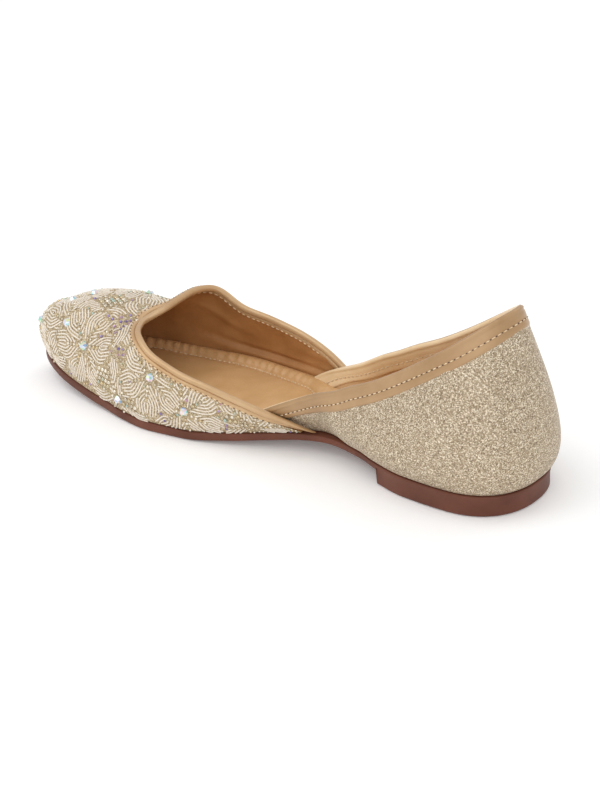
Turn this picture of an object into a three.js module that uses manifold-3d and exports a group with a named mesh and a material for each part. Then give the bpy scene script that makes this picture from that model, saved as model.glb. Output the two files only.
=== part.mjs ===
// A right mojari: moulded sole with a low heel, padded insole, vamp with two wings, quarter that
// passes inside the wings, and a leather binding on each of the upper's edges.
// Millimetres. +X runs from heel to toe, +Y to the inner side of the foot, +Z up.
import * as THREE from 'three';
import { mergeVertices } from 'three/addons/utils/BufferGeometryUtils.js';
import Module from 'manifold-3d';

const wasm = await Module();
wasm.setup();

// Sole
const soleLength = 255;
const ballWidth = 76;
const toeSwing = 4;
const heelRound = 28;
const heelFullness = 2.3;
const toeRound = 50;
const toeFullness = 1.7;
const soleThickness = 3.8;
const archHeight = 6.3;
const toeSpring = 8.4;
const edgeBevel = 0.9;
const heelLength = 62;
const heelInset = 0.4;

// Insole
const insoleThickness = 2.2;
const insoleCrown = 1.1;
const insoleBorder = 5;
const insoleGap = 0.4;

// Upper
const collarHeight = 72;
const vampHeight = 34;
const swell = 20;
const upperWall = 1.8;
const seamGap = 0.3;
const featherInset = 0.7;
const wingGap = 0.3;
const bandGap = 0.5;
const vampBindingWidth = 5;
const quarterBindingWidth = 8.5;
const bindingProud = 0.6;
const quarterTuck = upperWall + bindingProud * 2 + wingGap;

// Mesh steps
const soleSteps = 26;
const wallSteps = 8;
const toeSteps = 12;
const wingSteps = 18;
const quarterSteps = 22;

// Plan of the sole, from heel to toe: half widths on either side of a centre line that swings
// inwards at the toe. Widths are shares of the ball width.
const plan = [
  { at: 0.0, inner: 0.368, outer: 0.368, swing: 0 },
  { at: 0.12, inner: 0.368, outer: 0.37, swing: 0 },
  { at: 0.185, inner: 0.355, outer: 0.372, swing: 0 },
  { at: 0.243, inner: 0.302, outer: 0.357, swing: 0 },
  { at: 0.29, inner: 0.235, outer: 0.337, swing: 0 },
  { at: 0.36, inner: 0.184, outer: 0.325, swing: 0 },
  { at: 0.415, inner: 0.208, outer: 0.345, swing: 0 },
  { at: 0.463, inner: 0.268, outer: 0.38, swing: 0 },
  { at: 0.533, inner: 0.366, outer: 0.445, swing: 0 },
  { at: 0.608, inner: 0.432, outer: 0.505, swing: 0.05 },
  { at: 0.675, inner: 0.442, outer: 0.525, swing: 0.3 },
  { at: 0.737, inner: 0.405, outer: 0.505, swing: 0.5 },
  { at: 0.8, inner: 0.35, outer: 0.455, swing: 0.68 },
  { at: 0.863, inner: 0.322, outer: 0.405, swing: 0.82 },
  { at: 0.92, inner: 0.315, outer: 0.36, swing: 0.92 },
  { at: 1.0, inner: 0.3, outer: 0.3, swing: 1 },
];

// Side view of the sole: how far the tread is lifted by the arch and by the toe spring, and the
// thickness above it. The ball lies flat on the floor.
const profile = [
  { at: 0.0, arch: 1.0, spring: 0, thick: 0.72 },
  { at: 0.25, arch: 1.0, spring: 0, thick: 0.73 },
  { at: 0.36, arch: 0.97, spring: 0, thick: 0.8 },
  { at: 0.45, arch: 0.62, spring: 0, thick: 0.9 },
  { at: 0.53, arch: 0.27, spring: 0, thick: 0.97 },
  { at: 0.61, arch: 0, spring: 0, thick: 1.05 },
  { at: 0.71, arch: 0, spring: 0, thick: 1.05 },
  { at: 0.76, arch: 0, spring: 0.07, thick: 1.05 },
  { at: 0.82, arch: 0, spring: 0.26, thick: 1.03 },
  { at: 0.88, arch: 0, spring: 0.48, thick: 1.0 },
  { at: 0.94, arch: 0, spring: 0.74, thick: 1.0 },
  { at: 1.0, arch: 0, spring: 1, thick: 1.0 },
];

// Crest of the last, which each rib of the upper reaches: behind, it is the collar; ahead of the
// throat, the ridge of the vamp. crestX is a share of the length, crestHalf and lean of the ball
// width, collar of the collar height, vamp of the vamp height. Swell and crown push a rib out at its
// foot and at its top, rise and drop say how high up the rib that happens. Tilt, a share of the
// vamp height, lifts the crest on the outer side alone.
const table = (columns, rows) =>
  rows.map((row) => Object.fromEntries(columns.map((column, i) => [column, row[i]])));
const ribColumns = 'at crestX crestHalf lean collar vamp swell rise crown drop tilt'.split(' ');
const ribs = table(ribColumns, [
  [0, 0.0412, 0.18, 0, 0.989, 0, 0.62, 0.14, 0.4, 0.32, 0],
  [0.011, 0.051, 0.18, 0, 0.968, 0, 0.6, 0.14, 0.4, 0.32, 0],
  [0.033, 0.0667, 0.212, 0, 0.926, 0, 0.58, 0.15, 0.38, 0.32, 0],
  [0.066, 0.0882, 0.244, 0, 0.871, 0, 0.56, 0.16, 0.37, 0.32, 0],
  [0.11, 0.1176, 0.289, 0, 0.797, 0, 0.54, 0.18, 0.36, 0.32, 0],
  [0.18, 0.188, 0.307, 0, 0.632, 0, 0.52, 0.2, 0.34, 0.32, 0],
  [0.24, 0.245, 0.322, 0, 0.515, 0, 0.48, 0.2, 0.25, 0.33, 0],
  [0.3, 0.304, 0.321, 0, 0.415, 0, 0.45, 0.2, 0.15, 0.34, 0],
  [0.36, 0.361, 0.326, 0, 0.2, 0.42, 0.42, 0.2, 0.12, 0.34, 0],
  [0.43, 0.431, 0.349, 0, 0.05, 0.8, 0.4, 0.22, 0.16, 0.32, 0],
  [0.52, 0.522, 0.38, 0, 0, 1, 0.36, 0.26, 0.24, 0.3, 0],
  [0.6, 0.6, 0.39, -0.002, 0, 1.07, 0.32, 0.28, 0.27, 0.28, 0],
  [0.67, 0.666, 0.383, -0.01, 0, 1.1, 0.3, 0.34, 0.27, 0.25, -0.05],
  [0.72, 0.702, 0.365, -0.035, 0, 1.08, 0.27, 0.44, 0.3, 0.17, 0.02],
  [0.75, 0.724, 0.318, -0.045, 0, 1.03, 0.26, 0.55, 0.42, 0.08, 0.09],
  [0.775, 0.739, 0.24, -0.045, 0, 0.98, 0.25, 0.66, 0.62, 0, 0.1],
  [0.8, 0.749, 0.135, -0.03, 0, 0.96, 0.25, 0.75, 0.85, -0.04, 0.04],
  [0.82, 0.753, 0, -0.01, 0, 0.92, 0.25, 0.78, 1.05, -0.05, 0],
  [0.87, 0.8, 0, 0.01, 0, 0.95, 0.25, 0.78, 1, -0.05, 0],
  [0.92, 0.852, 0, 0.03, 0, 0.91, 0.3, 0.74, 0.85, -0.03, 0],
  [0.96, 0.892, 0, 0.045, 0, 0.82, 0.36, 0.66, 0.7, 0, 0],
  [1, 0.925, 0, 0.053, 0, 0.67, 0.4, 0.55, 0.55, 0, 0],
]);
const throatAt = 0.82;
// How far up its rib a binding's foot stops above the sole.
const bandFoot = 0.04;

// Top edges, as shares of the way up each rib. The vamp's runs from its wing's end at the sole
// to the throat, the quarter's from the heel to its hidden front end.
const vampEdge = [
  { at: 0.385, up: 0.02 },
  { at: 0.405, up: 0.17 },
  { at: 0.43, up: 0.31 },
  { at: 0.46, up: 0.44 },
  { at: 0.5, up: 0.57 },
  { at: 0.55, up: 0.67 },
  { at: 0.61, up: 0.74 },
  { at: 0.67, up: 0.81 },
  { at: 0.72, up: 0.91 },
  { at: 0.745, up: 0.97 },
  { at: 0.765, up: 1 },
  { at: 0.82, up: 1 },
];
const quarterEdge = [
  { at: 0, up: 1 },
  { at: 0.3, up: 1 },
  { at: 0.335, up: 0.93 },
  { at: 0.37, up: 0.77 },
  { at: 0.4, up: 0.62 },
  { at: 0.44, up: 0.46 },
  { at: 0.48, up: 0.28 },
  { at: 0.51, up: 0.12 },
  { at: 0.525, up: 0.04 },
];
// The quarter moves inwards, behind the wings, along the waist.
const tuck = [
  { at: 0, share: 0 },
  { at: 0.3, share: 0 },
  { at: 0.385, share: 1 },
  { at: 1, share: 1 },
];

// Smooth reading of one column of a table, without overshoot between its rows.
function read(table, column, at) {
  const last = table.length - 1;
  if (at <= table[0].at) return table[0][column];
  if (at >= table[last].at) return table[last][column];
  const slope = (i) => (table[i + 1][column] - table[i][column]) / (table[i + 1].at - table[i].at);
  const tangent = (i) => {
    if (i === 0) return slope(0);
    if (i === last) return slope(last - 1);
    const before = slope(i - 1);
    const after = slope(i);
    return before * after <= 0 ? 0 : (2 * before * after) / (before + after);
  };
  let i = 0;
  while (table[i + 1].at < at) i += 1;
  const span = table[i + 1].at - table[i].at;
  const t = (at - table[i].at) / span;
  const a = table[i][column];
  const b = table[i + 1][column];
  return (
    a * (1 + 2 * t) * (1 - t) ** 2 +
    b * t * t * (3 - 2 * t) +
    span * (tangent(i) * t * (1 - t) ** 2 - tangent(i + 1) * t * t * (1 - t))
  );
}

const spread = (from, to, count) =>
  Array.from({ length: count + 1 }, (_, i) => from + ((to - from) * i) / count);

// A place round the shoe is a turn from -1 to 1: 0 at the back of the heel, 1 and -1 at the tip
// of the toe, the inner side between 0 and 1 and the outer side between -1 and 0.
const wrap = (turn) => (turn > 1 ? turn - 2 : turn < -1 ? turn + 2 : turn);
const atOf = (turn) => (1 - Math.cos(Math.PI * Math.abs(turn))) / 2;
const turnOf = (at) => Math.acos(1 - 2 * at) / Math.PI;
const sideOf = (turn) => (turn < 0 ? -1 : 1);

const rounding = (distance, length, fullness) =>
  (1 - (1 - Math.min(1, distance / length)) ** fullness) ** (1 / fullness);
const heelRounding = (at) => rounding(at * soleLength, heelRound, heelFullness);
const toeRounding = (at) => rounding((1 - at) * soleLength, toeRound, toeFullness);
const treadHeight = (at) => archHeight * read(profile, 'arch', at) + toeSpring * read(profile, 'spring', at);
const seatHeight = (at) => treadHeight(at) + soleThickness * read(profile, 'thick', at);

function rawOutline(turn) {
  const at = atOf(wrap(turn));
  const side = sideOf(wrap(turn));
  const half = ballWidth * read(plan, side > 0 ? 'inner' : 'outer', at) * heelRounding(at) * toeRounding(at);
  return new THREE.Vector3(at * soleLength, toeSwing * read(plan, 'swing', at) + side * half, 0);
}

function outward(turn) {
  const step = 0.004;
  const along = rawOutline(turn + step).sub(rawOutline(turn - step)).normalize();
  return new THREE.Vector3(-along.y, along.x, 0);
}

const outlinePoint = (turn, inset) => rawOutline(turn).addScaledVector(outward(turn), -inset);

// The last: one rib for each turn, from the sole's edge to the crest.
function lastPoint(turn, up) {
  const at = atOf(wrap(turn));
  const side = sideOf(wrap(turn));
  const out = outward(turn);
  const foot = outlinePoint(turn, featherInset).setZ(seatHeight(at) + seamGap);
  const instep = read(ribs, 'vamp', at) + (side < 0 ? read(ribs, 'tilt', at) : 0);
  const lift = collarHeight * read(ribs, 'collar', at) + vampHeight * instep;
  const half = ballWidth * read(ribs, 'crestHalf', at) * heelRounding(at);
  const crest = new THREE.Vector3(
    soleLength * read(ribs, 'crestX', at),
    ballWidth * read(ribs, 'lean', at) + side * half,
    foot.z + lift,
  );
  const low = foot.clone().addScaledVector(out, swell * read(ribs, 'swell', at));
  low.z += lift * read(ribs, 'rise', at);
  const high = crest.clone().addScaledVector(out, swell * read(ribs, 'crown', at));
  high.z -= lift * read(ribs, 'drop', at);
  return new THREE.CubicBezierCurve3(foot, low, high, crest).getPoint(up);
}

function inward(turn, up) {
  const step = 0.004;
  const at = atOf(wrap(turn));
  if (up > 0.9999 && at >= throatAt) {
    const crestX = (t) => soleLength * read(ribs, 'crestX', t);
    const ridge = (t) => new THREE.Vector3(crestX(t), 0, lastPoint(turnOf(t), 1).z);
    const along = ridge(Math.min(1, at + step)).sub(ridge(at - step));
    return new THREE.Vector3(along.z, 0, -along.x).normalize();
  }
  const round = lastPoint(turn + step, up).sub(lastPoint(turn - step, up));
  const rise = lastPoint(turn, Math.min(1, up + step)).sub(lastPoint(turn, Math.max(0, up - step)));
  return round.cross(rise).normalize();
}

const skin = (turn, up, depth) => lastPoint(turn, up).addScaledVector(inward(turn, up), depth);

// Walks a distance over the last, square to an edge, and returns the turn and share up there.
function walk(turn, up, along, distance) {
  const paces = 4;
  const step = 0.002;
  let place = { turn, up };
  for (let pace = 0; pace < paces; pace += 1) {
    const high = Math.min(1, place.up + step);
    const round = lastPoint(place.turn + step, place.up).sub(lastPoint(place.turn - step, place.up));
    const rise = lastPoint(place.turn, high).sub(lastPoint(place.turn, high - 2 * step));
    round.divideScalar(2 * step);
    rise.divideScalar(2 * step);
    const heading = along.clone().cross(round.clone().cross(rise)).normalize();
    heading.multiplyScalar(distance / paces);
    const rr = round.dot(round);
    const ru = round.dot(rise);
    const uu = rise.dot(rise);
    const det = rr * uu - ru * ru;
    const hr = heading.dot(round);
    const hu = heading.dot(rise);
    place = {
      turn: place.turn + (hr * uu - hu * ru) / det,
      up: Math.min(1, place.up + (hu * rr - hr * ru) / det),
    };
  }
  return { turn: place.turn, up: Math.max(bandFoot, place.up) };
}

// Places along an edge at even distances, and the places a width further down the last.
function evenPlaces(table, from, to, count) {
  const fine = spread(from, to, 240).map((turn) => ({ turn, up: read(table, 'up', atOf(wrap(turn))) }));
  const points = fine.map((place) => lastPoint(place.turn, place.up));
  const lengths = [0];
  for (let i = 1; i < points.length; i += 1) {
    lengths.push(lengths[i - 1] + points[i].distanceTo(points[i - 1]));
  }
  return spread(0, lengths[lengths.length - 1], count).map((length) => {
    let i = 0;
    while (i < lengths.length - 2 && lengths[i + 1] < length) i += 1;
    const share = Math.min(1, (length - lengths[i]) / (lengths[i + 1] - lengths[i]));
    const turn = fine[i].turn + (fine[i + 1].turn - fine[i].turn) * share;
    return { turn, up: read(table, 'up', atOf(wrap(turn))) };
  });
}

function lowered(places, distance) {
  return places.map((place, i) => {
    const before = places[Math.max(0, i - 1)];
    const after = places[Math.min(places.length - 1, i + 1)];
    const along = lastPoint(after.turn, after.up).sub(lastPoint(before.turn, before.up)).normalize();
    return walk(place.turn, place.up, along, distance);
  });
}

function closedGeometry(triangles) {
  const geometry = new THREE.BufferGeometry();
  const flat = facingOut(triangles).flatMap((corner) => [corner.x, corner.y, corner.z]);
  geometry.setAttribute('position', new THREE.Float32BufferAttribute(flat, 3));
  return mergeVertices(geometry, 1e-4);
}

// The same triangles, turned over where they enclose their body from the wrong side.
function facingOut(triangles) {
  let volume = 0;
  for (let i = 0; i < triangles.length; i += 3) {
    volume += triangles[i].dot(triangles[i + 1].clone().cross(triangles[i + 2]));
  }
  return volume < 0 ? triangles.toReversed() : triangles;
}

function quad(triangles, a, b, c, d) {
  triangles.push(a, b, c, a, c, d);
}

// A wall between two grids of the same size, closed round its rim. Where the two halves of a
// piece meet, openTop leaves out the rim.
function wallBetween(outer, inner, openTop) {
  const triangles = [];
  const rows = outer[0].length - 1;
  for (let i = 0; i < outer.length - 1; i += 1) {
    for (let j = 0; j < rows; j += 1) {
      quad(triangles, outer[i][j], outer[i][j + 1], outer[i + 1][j + 1], outer[i + 1][j]);
      quad(triangles, inner[i][j], inner[i + 1][j], inner[i + 1][j + 1], inner[i][j + 1]);
    }
    quad(triangles, outer[i][0], outer[i + 1][0], inner[i + 1][0], inner[i][0]);
    if (openTop(i)) quad(triangles, outer[i][rows], inner[i][rows], inner[i + 1][rows], outer[i + 1][rows]);
  }
  const ends = [
    [outer[0], inner[0], false],
    [outer[outer.length - 1], inner[outer.length - 1], true],
  ];
  for (const [out, back, far] of ends) {
    for (let j = 0; j < rows; j += 1) {
      if (far) quad(triangles, out[j], out[j + 1], back[j + 1], back[j]);
      else quad(triangles, out[j], back[j], back[j + 1], out[j + 1]);
    }
  }
  return closedGeometry(triangles);
}

// A band swept along closed sections, with a flat cap at each end.
function bandThrough(sections) {
  const triangles = [];
  const count = sections[0].length;
  for (let i = 0; i < sections.length - 1; i += 1) {
    for (let j = 0; j < count; j += 1) {
      const k = (j + 1) % count;
      quad(triangles, sections[i][j], sections[i][k], sections[i + 1][k], sections[i + 1][j]);
    }
  }
  const first = sections[0];
  const last = sections[sections.length - 1];
  for (let j = 1; j < count - 1; j += 1) {
    triangles.push(first[0], first[j + 1], first[j]);
    triangles.push(last[0], last[j], last[j + 1]);
  }
  return closedGeometry(triangles);
}

// A flat body from rings that follow the sole's outline, filled across at its bottom and top.
function layeredBody(rings) {
  const triangles = [];
  const count = rings[0].length;
  const half = count / 2;
  for (let k = 0; k < rings.length - 1; k += 1) {
    for (let i = 0; i < count; i += 1) {
      const next = (i + 1) % count;
      quad(triangles, rings[k][i], rings[k + 1][i], rings[k + 1][next], rings[k][next]);
    }
  }
  const fill = (ring, upwards) => {
    for (let i = 0; i < half; i += 1) {
      const corners = [ring[i], ring[i + 1], ring[(count - i - 1) % count], ring[(count - i) % count]];
      const fresh = (corner, k) => !corners.slice(0, k).some((other) => other.distanceTo(corner) < 1e-4);
      const kept = corners.filter(fresh);
      for (let k = 1; k < kept.length - 1; k += 1) {
        if (upwards) triangles.push(kept[0], kept[k + 1], kept[k]);
        else triangles.push(kept[0], kept[k], kept[k + 1]);
      }
    }
  };
  fill(rings[0], false);
  fill(rings[rings.length - 1], true);
  return closedGeometry(triangles);
}

const ringTurns = spread(-1, 1, 2 * soleSteps).slice(1);
const ring = (inset, height) =>
  ringTurns.map((turn) => {
    const at = atOf(turn);
    return outlinePoint(turn, inset).setZ(height(at));
  });

const asManifold = (geometry) => {
  const mesh = new wasm.Mesh({
    numProp: 3,
    vertProperties: new Float32Array(geometry.attributes.position.array),
    triVerts: new Uint32Array(geometry.index.array),
  });
  return new wasm.Manifold(mesh);
};

function asGeometry(solid) {
  const mesh = solid.getMesh();
  const geometry = new THREE.BufferGeometry();
  geometry.setAttribute('position', new THREE.BufferAttribute(new Float32Array(mesh.vertProperties), 3));
  geometry.setIndex(Array.from(mesh.triVerts));
  return geometry;
}

function outsole() {
  const plate = layeredBody([
    ring(edgeBevel, treadHeight),
    ring(0, (at) => treadHeight(at) + edgeBevel),
    ring(0, (at) => seatHeight(at) - edgeBevel / 2),
    ring(edgeBevel / 2, seatHeight),
  ]);
  const middle = (at) => (treadHeight(at) + seatHeight(at)) / 2;
  const block = layeredBody([
    ring(heelInset + edgeBevel, () => 0),
    ring(heelInset, () => edgeBevel),
    ring(heelInset, middle),
  ]);
  const trim = new THREE.BoxGeometry(soleLength, 2 * ballWidth, 4 * archHeight);
  trim.deleteAttribute('normal');
  trim.deleteAttribute('uv');
  trim.translate(heelLength + soleLength / 2, 0, 0);
  const heel = asManifold(block).subtract(asManifold(mergeVertices(trim)));
  return asGeometry(asManifold(plate).add(heel));
}

const wallTuck = (at) => quarterTuck * read(tuck, 'share', at) * (at < throatAt ? 1 : 0);

function insole() {
  const clear = (extra) => (at) => seatHeight(at) + seamGap + extra;
  const border = (turn) => upperWall + insoleGap + featherInset + tuckAt(atOf(turn));
  const insetRing = (inset, height) =>
    ringTurns.map((turn) => outlinePoint(turn, border(turn) + inset).setZ(height(atOf(turn))));
  return layeredBody([
    insetRing(0.6, clear(0)),
    insetRing(0, clear(0.5)),
    insetRing(0, clear(insoleThickness - 0.5)),
    insetRing(0.6, clear(insoleThickness)),
    insetRing(insoleBorder, clear(insoleThickness)),
    insetRing(insoleBorder + 1, clear(insoleThickness + insoleCrown)),
  ]);
}

// Depth that the insole leaves for the quarter, which ends behind the ball.
function tuckAt(at) {
  const ahead = quarterEdge[quarterEdge.length - 1].at;
  const fade = Math.min(1, Math.max(0, (at - ahead) / 0.06));
  return wallTuck(at) * (1 - fade * fade * (3 - 2 * fade));
}

// The wall of one piece, from the foot of each rib to its place in the list of tops.
function wall(tops, depthAt, openTop) {
  const grid = (extra) =>
    tops.map((top) =>
      spread(0, top.up, wallSteps).map((up) => skin(top.turn, up, depthAt(atOf(wrap(top.turn))) + extra)),
    );
  return wallBetween(grid(0), grid(upperWall), openTop);
}

// A folded band over the edge: wider than the wall by bindingProud on each side, with a round top.
function binding(places, width, depthAt) {
  const round = upperWall / 2 + bindingProud;
  const folds = [
    { down: width, depth: -bindingProud },
    { down: width / 2, depth: -bindingProud },
    { down: round * 0.9, depth: -bindingProud },
    { down: round * 0.28, depth: upperWall / 2 - round * 0.72 },
    { down: 0, depth: upperWall / 2 },
    { down: round * 0.28, depth: upperWall / 2 + round * 0.72 },
    { down: round * 0.9, depth: upperWall + bindingProud },
    { down: width / 2, depth: upperWall + bindingProud },
    { down: width, depth: upperWall + bindingProud },
  ];
  const rows = folds.map((fold) =>
    lowered(places, fold.down).map((place) =>
      skin(place.turn, place.up, depthAt(atOf(wrap(place.turn))) + fold.depth),
    ),
  );
  return bandThrough(places.map((_, i) => rows.map((row) => row[i])));
}

const wingTurn = turnOf(vampEdge[0].at);
const throatTurn = turnOf(throatAt);
const wingPlaces = [
  ...evenPlaces(vampEdge, wingTurn, throatTurn, wingSteps),
  ...evenPlaces(vampEdge, 2 - throatTurn, 2 - wingTurn, wingSteps).slice(1),
];
const collarTurn = turnOf(quarterEdge[quarterEdge.length - 1].at);
const collarPlaces = evenPlaces(quarterEdge, -collarTurn, collarTurn, 2 * quarterSteps);
const leastWall = 0.08;

function vamp() {
  const lower = lowered(wingPlaces, vampBindingWidth + bandGap);
  const tall = (top) => top.up > leastWall;
  const near = lower.slice(0, wingSteps).filter(tall);
  const far = lower.slice(wingSteps + 1).filter(tall);
  const throat = lower[wingSteps].turn;
  const ridge = spread(throat, 2 - throat, 2 * toeSteps).map((turn) => ({ turn, up: 1 }));
  const rimmed = (i) => i < near.length || i >= near.length + ridge.length - 1;
  return wall([...near, ...ridge, ...far], () => 0, rimmed);
}

function quarter() {
  const tops = lowered(collarPlaces, quarterBindingWidth + bandGap).filter((top) => top.up > leastWall);
  return wall(tops, wallTuck, () => true);
}

const finishes = {
  outsole: { color: '#7b5647', roughness: 0.55, metalness: 0 },
  insole: { color: '#cda878', roughness: 0.6, metalness: 0 },
  vamp: { color: '#cbb69c', roughness: 0.7, metalness: 0.1 },
  quarter: { color: '#c1b097', roughness: 0.5, metalness: 0.4 },
  vamp_binding: { color: '#dbb792', roughness: 0.4, metalness: 0.4 },
  quarter_binding: { color: '#c6a47e', roughness: 0.4, metalness: 0.4 },
};

const pieces = {
  outsole: outsole(),
  insole: insole(),
  vamp: vamp(),
  quarter: quarter(),
  vamp_binding: binding(wingPlaces, vampBindingWidth, () => 0),
  quarter_binding: binding(collarPlaces, quarterBindingWidth, wallTuck),
};

const shoe = new THREE.Group();
for (const [name, geometry] of Object.entries(pieces)) {
  geometry.computeVertexNormals();
  const mesh = new THREE.Mesh(geometry, new THREE.MeshStandardMaterial(finishes[name]));
  mesh.name = name;
  shoe.add(mesh);
}
const bounds = new THREE.Box3().setFromObject(shoe);
shoe.position.set(-(bounds.min.x + bounds.max.x) / 2, -(bounds.min.y + bounds.max.y) / 2, -bounds.min.z);
export default shoe;
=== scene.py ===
import math
import random

import bmesh
import bpy
import numpy as np
from mathutils import Matrix, Vector
from mathutils.bvhtree import BVHTree


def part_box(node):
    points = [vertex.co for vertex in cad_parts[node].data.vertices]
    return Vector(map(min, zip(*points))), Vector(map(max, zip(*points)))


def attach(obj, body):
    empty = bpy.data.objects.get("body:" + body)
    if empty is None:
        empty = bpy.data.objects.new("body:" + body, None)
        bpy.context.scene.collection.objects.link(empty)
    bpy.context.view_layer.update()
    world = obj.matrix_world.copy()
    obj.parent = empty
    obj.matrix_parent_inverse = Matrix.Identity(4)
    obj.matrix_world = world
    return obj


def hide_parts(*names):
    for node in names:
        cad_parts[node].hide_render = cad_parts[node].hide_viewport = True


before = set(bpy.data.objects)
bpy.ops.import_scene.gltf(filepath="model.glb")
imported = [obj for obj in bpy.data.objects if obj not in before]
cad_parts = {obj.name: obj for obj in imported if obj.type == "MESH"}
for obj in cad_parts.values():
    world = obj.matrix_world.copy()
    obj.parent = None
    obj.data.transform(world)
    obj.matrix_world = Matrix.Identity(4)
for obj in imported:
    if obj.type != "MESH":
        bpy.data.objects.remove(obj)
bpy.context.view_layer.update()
print("frame loaded, pieces:", ", ".join(sorted(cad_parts)))

mm = 0.001

# The last. The same rule as the solids follow: one rib for each turn round the shoe, from the
# sole's edge up to the crest. A turn is 0 at the back of the heel and 1 or -1 at the toe's tip,
# positive on the inner side. All in millimetres.
last = {
    "soleLength": 255, "ballWidth": 76, "toeSwing": 4, "heelRound": 28, "heelFullness": 2.3,
    "toeRound": 50, "toeFullness": 1.7, "soleThickness": 3.8, "archHeight": 6.3, "toeSpring": 8.4,
    "collarHeight": 72, "vampHeight": 34, "swell": 20, "upperWall": 1.8, "seamGap": 0.3,
    "featherInset": 0.7, "throatAt": 0.82, "bandFoot": 0.04, "footBlend": 0.3,
}


def table(columns, *rows):
    return dict(zip(columns.split(), np.array(rows, float).T))


def listed(columns, *rows):
    return [dict(zip(columns.split(), row)) for row in rows]


plan = table(
    "at inner outer swing",
    (0, 0.368, 0.368, 0), (0.12, 0.368, 0.37, 0), (0.185, 0.355, 0.372, 0),
    (0.243, 0.302, 0.357, 0), (0.29, 0.235, 0.337, 0), (0.36, 0.184, 0.325, 0),
    (0.415, 0.208, 0.345, 0), (0.463, 0.268, 0.38, 0), (0.533, 0.366, 0.445, 0),
    (0.608, 0.432, 0.505, 0.05), (0.675, 0.442, 0.525, 0.3), (0.737, 0.405, 0.505, 0.5),
    (0.8, 0.35, 0.455, 0.68), (0.863, 0.322, 0.405, 0.82), (0.92, 0.315, 0.36, 0.92),
    (1, 0.3, 0.3, 1),
)
profile = table(
    "at arch spring thick",
    (0, 1, 0, 0.72), (0.25, 1, 0, 0.73), (0.36, 0.97, 0, 0.8), (0.45, 0.62, 0, 0.9),
    (0.53, 0.27, 0, 0.97), (0.61, 0, 0, 1.05), (0.71, 0, 0, 1.05), (0.76, 0, 0.07, 1.05),
    (0.82, 0, 0.26, 1.03), (0.88, 0, 0.48, 1), (0.94, 0, 0.74, 1), (1, 0, 1, 1),
)
ribs = table(
    "at crestX crestHalf lean collar vamp swell rise crown drop tilt",
    (0, 0.0412, 0.18, 0, 0.989, 0, 0.62, 0.14, 0.4, 0.32, 0),
    (0.011, 0.051, 0.18, 0, 0.968, 0, 0.6, 0.14, 0.4, 0.32, 0),
    (0.033, 0.0667, 0.212, 0, 0.926, 0, 0.58, 0.15, 0.38, 0.32, 0),
    (0.066, 0.0882, 0.244, 0, 0.871, 0, 0.56, 0.16, 0.37, 0.32, 0),
    (0.11, 0.1176, 0.289, 0, 0.797, 0, 0.54, 0.18, 0.36, 0.32, 0),
    (0.18, 0.188, 0.307, 0, 0.632, 0, 0.52, 0.2, 0.34, 0.32, 0),
    (0.24, 0.245, 0.322, 0, 0.515, 0, 0.48, 0.2, 0.25, 0.33, 0),
    (0.3, 0.304, 0.321, 0, 0.415, 0, 0.45, 0.2, 0.15, 0.34, 0),
    (0.36, 0.361, 0.326, 0, 0.2, 0.42, 0.42, 0.2, 0.12, 0.34, 0),
    (0.43, 0.431, 0.349, 0, 0.05, 0.8, 0.4, 0.22, 0.16, 0.32, 0),
    (0.52, 0.522, 0.38, 0, 0, 1, 0.36, 0.26, 0.24, 0.3, 0),
    (0.6, 0.6, 0.39, -0.002, 0, 1.07, 0.32, 0.28, 0.27, 0.28, 0),
    (0.67, 0.666, 0.383, -0.01, 0, 1.1, 0.3, 0.34, 0.27, 0.25, -0.05),
    (0.72, 0.702, 0.365, -0.035, 0, 1.08, 0.27, 0.44, 0.3, 0.17, 0.02),
    (0.75, 0.724, 0.318, -0.045, 0, 1.03, 0.26, 0.55, 0.42, 0.08, 0.09),
    (0.775, 0.739, 0.24, -0.045, 0, 0.98, 0.25, 0.66, 0.62, 0, 0.1),
    (0.8, 0.749, 0.135, -0.03, 0, 0.96, 0.25, 0.75, 0.85, -0.04, 0.04),
    (0.82, 0.753, 0, -0.01, 0, 0.92, 0.25, 0.78, 1.05, -0.05, 0),
    (0.87, 0.8, 0, 0.01, 0, 0.95, 0.25, 0.78, 1, -0.05, 0),
    (0.92, 0.852, 0, 0.03, 0, 0.91, 0.3, 0.74, 0.85, -0.03, 0),
    (0.96, 0.892, 0, 0.045, 0, 0.82, 0.36, 0.66, 0.7, 0, 0),
    (1, 0.925, 0, 0.053, 0, 0.67, 0.4, 0.55, 0.55, 0, 0),
)
vampEdge = table(
    "at up",
    (0.385, 0.02), (0.405, 0.17), (0.43, 0.31), (0.46, 0.44), (0.5, 0.57), (0.55, 0.67),
    (0.61, 0.74), (0.67, 0.81), (0.72, 0.91), (0.745, 0.97), (0.765, 1), (0.82, 1),
)
quarterEdge = table(
    "at up",
    (0, 1), (0.3, 1), (0.335, 0.93), (0.37, 0.77), (0.4, 0.62), (0.44, 0.46), (0.48, 0.28),
    (0.51, 0.12), (0.525, 0.04),
)
tuck = table("at share", (0, 0), (0.3, 0), (0.385, 1), (1, 1))


def read(rows, column, at):
    # a smooth curve through a table's rows that never overshoots them
    x, y = rows["at"], rows[column]
    slope = np.diff(y) / np.diff(x)
    before, after = slope[:-1], slope[1:]
    same = before * after > 0
    inner = np.where(same, 2 * before * after / np.where(same, before + after, 1), 0)
    tangent = np.concatenate([slope[:1], inner, slope[-1:]])
    at = np.clip(at, x[0], x[-1])
    i = np.clip(np.searchsorted(x, at) - 1, 0, len(x) - 2)
    span = x[i + 1] - x[i]
    t = (at - x[i]) / span
    bend = tangent[i] * t * (1 - t) ** 2 - tangent[i + 1] * t * t * (1 - t)
    return y[i] * (1 + 2 * t) * (1 - t) ** 2 + y[i + 1] * t * t * (3 - 2 * t) + span * bend


def wrap(turn):
    return (np.asarray(turn, float) + 1) % 2 - 1


def atOf(turn):
    return (1 - np.cos(np.pi * np.abs(wrap(turn)))) / 2


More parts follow.
